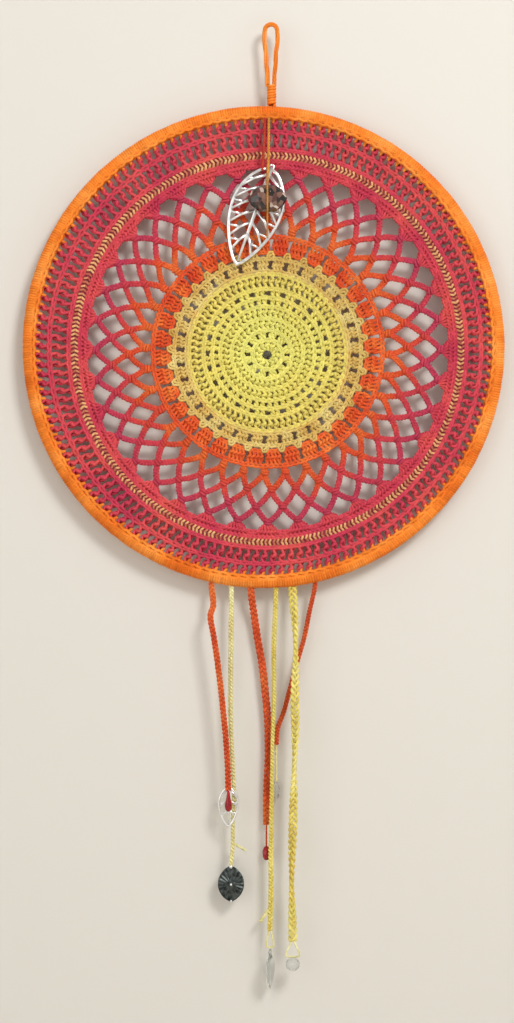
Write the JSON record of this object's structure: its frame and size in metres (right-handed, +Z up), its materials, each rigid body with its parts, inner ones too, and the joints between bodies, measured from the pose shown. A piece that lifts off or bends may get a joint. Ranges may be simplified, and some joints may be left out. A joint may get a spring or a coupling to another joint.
{
  "type": "crochet dream catcher",
  "caption": "Yarn-covered hoop with a round openwork crochet panel, a hanging loop, a leaf pendant in front and crocheted tassel tapes ending in charms below.",
  "frame": {"origin": "the point inside the top of the hanging loop that rests on the pin or hook", "axes": "+X to the viewer's right, +Y away from the viewer towards the wall, +Z up"},
  "size_m": [0.311, 0.0223, 0.6235],
  "materials": {
    "steel": "drawn wire",
    "orange_yarn": "cotton yarn",
    "yellow_yarn": "cotton yarn",
    "pale_yarn": "cotton yarn",
    "flame_yarn": "cotton yarn",
    "sunset_yarn": "variegated cotton yarn",
    "crimson_yarn": "cotton yarn",
    "gold_rose_yarn": "variegated cotton yarn",
    "silver": "bright plated casting",
    "pewter": "dark fluted casting",
    "smoky_glass": "faceted",
    "red_glass": "polished",
    "clear_glass": "polished"
  },
  "bodies": {
    "loop": {"hanging_loop": "orange_yarn"},
    "knot": {"hanging_knot": "orange_yarn"},
    "hoop": {"hoop_ring": "steel", "hoop_cover": "orange_yarn", "yellow_centre": "yellow_yarn", "pale_yellow_round": "pale_yarn", "orange_cluster_round": "flame_yarn", "trellis_net": "sunset_yarn", "crimson_fan_round": "crimson_yarn", "gold_rose_round": "gold_rose_yarn", "crimson_band_inner": "crimson_yarn", "crimson_band_outer": "crimson_yarn"},
    "pendant": {"pendant_cord_red": "crimson_yarn", "pendant_cord_gold": "orange_yarn", "smoky_crystal": "smoky_glass", "pendant_tail": "orange_yarn"},
    "leaf": {"filigree_leaf": "silver"},
    "orange_tassel": {"tassel_orange": "flame_yarn", "red_drop": "red_glass"},
    "small_leaf": {"small_leaf": "silver"},
    "cream_tassel": {"tassel_cream": "pale_yarn", "cream_tail": "pale_yarn"},
    "medallion": {"pewter_medallion": "pewter"},
    "red_tassel": {"tassel_red": "flame_yarn"},
    "ruby": {"ruby_thread": "crimson_yarn", "ruby_bead": "red_glass"},
    "thin_yellow_tassel": {"tassel_thin_yellow": "yellow_yarn", "yellow_tail": "yellow_yarn", "clear_leaf_loop": "pale_yarn"},
    "clear_leaf": {"clear_leaf": "clear_glass"},
    "wide_yellow_tassel": {"tassel_wide_yellow": "yellow_yarn"},
    "glass_drop": {"glass_drop_loop": "pale_yarn", "glass_drop": "clear_glass"},
    "crimson_tassel": {"tassel_crimson": "crimson_yarn"},
    "crystal": {"crystal_thread": "pale_yarn", "crystal_bead": "clear_glass"}
  },
  "joints": [
    {"name": "hoop_sway", "type": "hinge", "parent": "loop", "child": "knot", "pos_m": [0.0004, 0, -0.041], "axis": [0, -1, 0], "range_deg": [-12, 12]},
    {"name": "hoop_tilt", "type": "hinge", "parent": "knot", "child": "hoop", "pos_m": [0.0004, 0, -0.0555], "axis": [-1, 0, 0], "range_deg": [0, 30]},
    {"name": "pendant_lift", "type": "hinge", "parent": "hoop", "child": "pendant", "pos_m": [-0.0026, 0, -0.0555], "axis": [-1, 0, 0], "range_deg": [0, 60]},
    {"name": "leaf_rock", "type": "hinge", "parent": "pendant", "child": "leaf", "pos_m": [0.0003, -0.005, -0.0913], "axis": [0, -1, 0], "range_deg": [-20, 20]},
    {"name": "orange_lift", "type": "hinge", "parent": "hoop", "child": "orange_tassel", "pos_m": [-0.0384, 0, -0.35371], "axis": [-1, 0, 0], "range_deg": [0, 60]},
    {"name": "small_leaf_rock", "type": "hinge", "parent": "orange_tassel", "child": "small_leaf", "pos_m": [-0.0274, -0.00305, -0.4893], "axis": [0, -1, 0], "range_deg": [-20, 20]},
    {"name": "cream_sway", "type": "hinge", "parent": "hoop", "child": "cream_tassel", "pos_m": [-0.0255, 0, -0.36279], "axis": [0, -1, 0], "range_deg": [-25, 3]},
    {"name": "medallion_turn", "type": "hinge", "parent": "cream_tassel", "child": "medallion", "pos_m": [-0.0258, 0, -0.5408], "axis": [0, 0, 1], "range_deg": [-60, 60]},
    {"name": "red_sway", "type": "hinge", "parent": "hoop", "child": "red_tassel", "pos_m": [-0.0129, 0, -0.36459], "axis": [0, -1, 0], "range_deg": [-25, 0]},
    {"name": "ruby_swing", "type": "hinge", "parent": "red_tassel", "child": "ruby", "pos_m": [-0.0029, 0.0054, -0.515], "axis": [0, -1, 0], "range_deg": [-20, 20]},
    {"name": "thin_yellow_lift", "type": "hinge", "parent": "hoop", "child": "thin_yellow_tassel", "pos_m": [0.0032, 0, -0.35729], "axis": [-1, 0, 0], "range_deg": [0, 60]},
    {"name": "clear_leaf_turn", "type": "hinge", "parent": "thin_yellow_tassel", "child": "clear_leaf", "pos_m": [-0.0006, 0, -0.5967], "axis": [0, 0, 1], "range_deg": [-75, 90]},
    {"name": "wide_yellow_lift", "type": "hinge", "parent": "hoop", "child": "wide_yellow_tassel", "pos_m": [0.0139, 0, -0.35634], "axis": [-1, 0, 0], "range_deg": [0, 60]},
    {"name": "glass_drop_swing", "type": "hinge", "parent": "wide_yellow_tassel", "child": "glass_drop", "pos_m": [0.0139, -0.0062, -0.58855], "axis": [0, -1, 0], "range_deg": [-20, 20]},
    {"name": "crimson_sway", "type": "hinge", "parent": "hoop", "child": "crimson_tassel", "pos_m": [0.0284, 0, -0.36046], "axis": [0, -1, 0], "range_deg": [0, 25]},
    {"name": "crystal_swing", "type": "hinge", "parent": "crimson_tassel", "child": "crystal", "pos_m": [0.0035, 0.0054, -0.4634], "axis": [0, -1, 0], "range_deg": [0, 20]}
  ]
}
